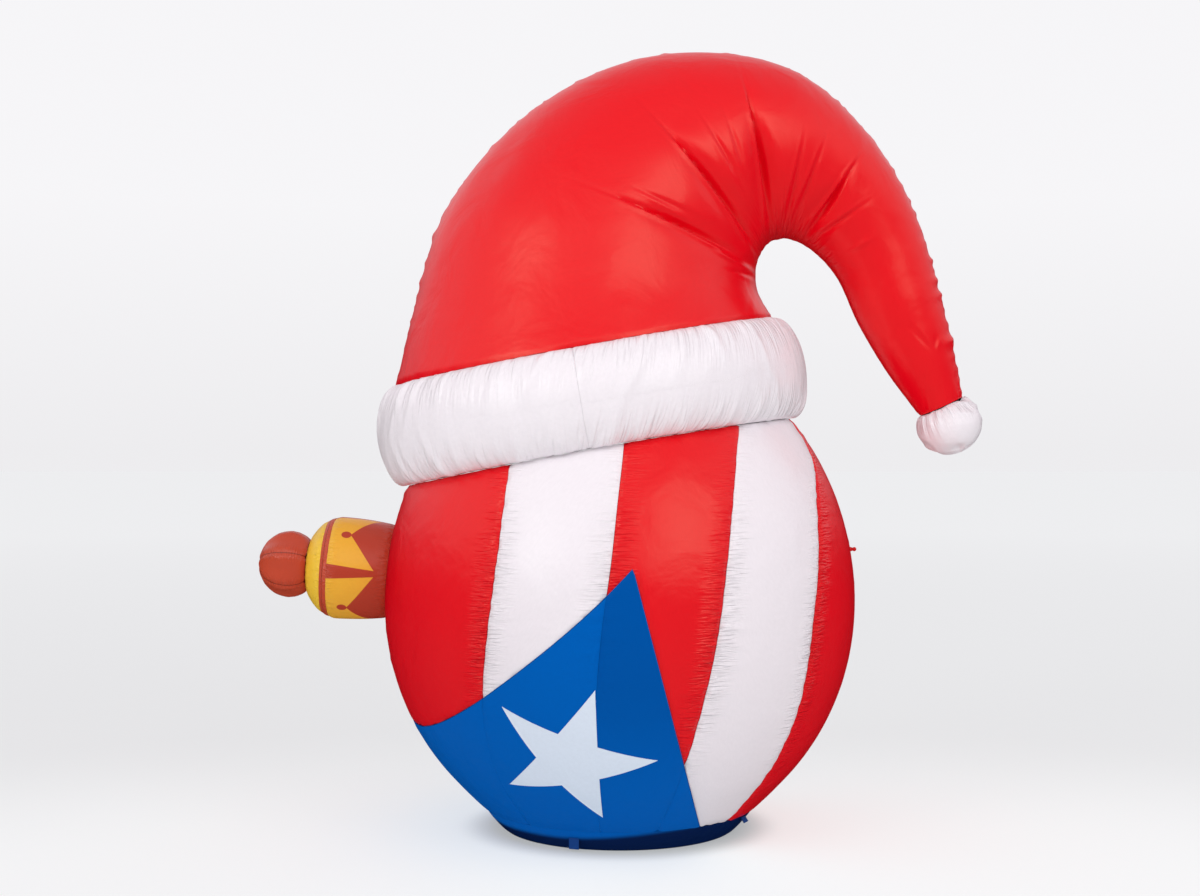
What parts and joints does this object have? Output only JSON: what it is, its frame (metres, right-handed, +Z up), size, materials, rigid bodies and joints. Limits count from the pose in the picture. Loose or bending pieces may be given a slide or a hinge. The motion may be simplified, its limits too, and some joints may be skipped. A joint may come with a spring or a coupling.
{
  "type": "inflatable christmas ball",
  "caption": "Blown-up cloth ball of striped gores with a blue triangle and star, a cap and finial on one side, and a floppy hat with a puffed brim and pompom.",
  "frame": {"origin": "middle of the round base panel, on the ground", "axes": "+Z up through the ball's poles, +X from the cap side to the side where the hat's tail hangs, -Y to the side that carries the star"},
  "size_m": [1.6978, 1.093, 1.8067],
  "materials": {
    "red_cloth": "coated woven polyester, soft satin sheen",
    "white_cloth": "coated woven polyester, slightly translucent",
    "blue_cloth": "coated woven polyester, soft satin sheen",
    "navy_webbing": "folded woven tape",
    "yellow_cloth": "coated woven polyester, printed",
    "brown_cloth": "coated woven polyester, soft satin sheen",
    "star_cloth": "pale print on coated polyester"
  },
  "bodies": {
    "root": {"front_red_left": "red_cloth", "front_white_left": "white_cloth", "front_red_middle": "red_cloth", "front_white_right": "white_cloth", "front_red_right": "red_cloth", "front_blue_under_red_left": "blue_cloth", "front_blue_under_white_left": "blue_cloth", "front_blue_under_red_middle": "blue_cloth", "front_blue_under_white_right": "blue_cloth", "back_red_left": "red_cloth", "back_white_left": "white_cloth", "back_red_middle": "red_cloth", "back_white_right": "white_cloth", "back_red_right": "red_cloth", "back_blue_under_red_left": "blue_cloth", "back_blue_under_white_left": "blue_cloth", "back_blue_under_red_middle": "blue_cloth", "back_blue_under_white_right": "blue_cloth", "star": "star_cloth", "base_panel": "blue_cloth", "brim_right": "white_cloth", "brim_left": "white_cloth", "hat_front": "red_cloth", "hat_back": "red_cloth", "pompom": "white_cloth", "cap_wall": "yellow_cloth", "cap_band": "brown_cloth", "cap_end": "yellow_cloth", "finial": "brown_cloth", "stake_tab_front": "navy_webbing", "stake_tab_right": "navy_webbing", "tether_tab": "red_cloth"}
  },
  "joints": []
}
